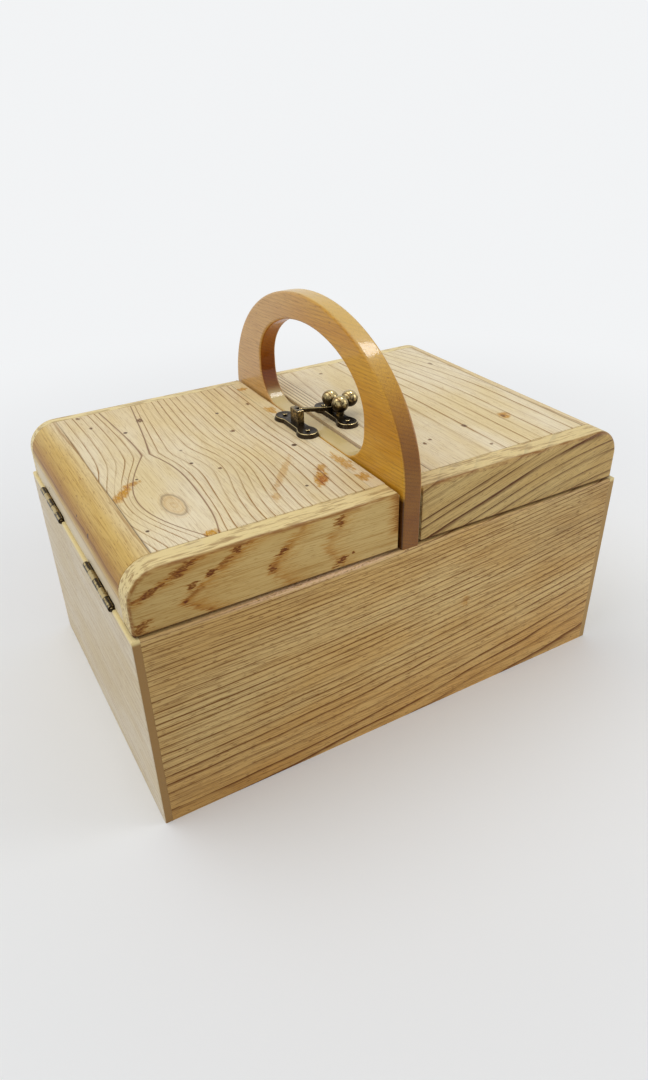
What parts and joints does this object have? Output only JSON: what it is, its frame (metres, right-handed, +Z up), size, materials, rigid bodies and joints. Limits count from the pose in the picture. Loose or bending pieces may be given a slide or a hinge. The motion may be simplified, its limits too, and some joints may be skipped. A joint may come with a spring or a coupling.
{
  "type": "sewing carrier",
  "caption": "Wooden carrying box with a tall arched handle board across its middle, outward-opening hinged lids beside it, and a brass lever latch joining the lids through the hand opening.",
  "frame": {"origin": "centre of the footprint, on the plane that the box stands on", "axes": "+X along the box from the left lid to the right lid, -Y the front, +Z up"},
  "size_m": [0.2728, 0.178, 0.2065],
  "materials": {
    "body_wood": "satin clear varnish",
    "lid_wood": "satin clear varnish",
    "handle_wood": "gloss amber varnish",
    "hinge_brass": "antiqued",
    "latch_brass": "antiqued"
  },
  "bodies": {
    "box": {"front_wall": "body_wood", "back_wall": "body_wood", "left_end_wall": "body_wood", "right_end_wall": "body_wood", "bottom_panel": "body_wood", "handle_board": "handle_wood", "left_front_hinge_wall_leaf": "hinge_brass", "left_back_hinge_wall_leaf": "hinge_brass", "right_front_hinge_wall_leaf": "hinge_brass", "right_back_hinge_wall_leaf": "hinge_brass", "left_front_hinge_pin": "hinge_brass", "left_back_hinge_pin": "hinge_brass", "right_front_hinge_pin": "hinge_brass", "right_back_hinge_pin": "hinge_brass", "left_hinge_wall_screws": "hinge_brass", "right_hinge_wall_screws": "hinge_brass"},
    "left_lid": {"left_lid_front_rail": "lid_wood", "left_lid_back_rail": "lid_wood", "left_lid_end_block": "lid_wood", "left_lid_inner_rail": "lid_wood", "left_lid_panel": "lid_wood", "left_front_hinge_lid_leaf": "hinge_brass", "left_back_hinge_lid_leaf": "hinge_brass", "left_hinge_lid_screws": "hinge_brass", "keeper_plate": "latch_brass", "keeper_post": "latch_brass", "keeper_plate_pins": "latch_brass"},
    "right_lid": {"right_lid_front_rail": "lid_wood", "right_lid_back_rail": "lid_wood", "right_lid_end_block": "lid_wood", "right_lid_inner_rail": "lid_wood", "right_lid_panel": "lid_wood", "right_front_hinge_lid_leaf": "hinge_brass", "right_back_hinge_lid_leaf": "hinge_brass", "right_hinge_lid_screws": "hinge_brass", "latch_plate": "latch_brass", "front_ball_post": "latch_brass", "back_ball_post": "latch_brass", "lever_pin": "latch_brass", "latch_plate_pins": "latch_brass"},
    "latch_lever": {"latch_lever": "latch_brass", "lever_knob": "latch_brass"}
  },
  "joints": [
    {"name": "left_lid_hinge", "type": "hinge", "parent": "box", "child": "left_lid", "pos_m": [-0.1348, 0, 0.1088], "axis": [0, -1, 0], "range_deg": [0, 180]},
    {"name": "right_lid_hinge", "type": "hinge", "parent": "box", "child": "right_lid", "pos_m": [0.1348, 0, 0.1088], "axis": [0, 1, 0], "range_deg": [0, 180]},
    {"name": "latch_lever_pivot", "type": "hinge", "parent": "right_lid", "child": "latch_lever", "pos_m": [0.0145, 0.004, 0.1422], "axis": [0, 1, 0], "range_deg": [0, 22]}
  ]
}
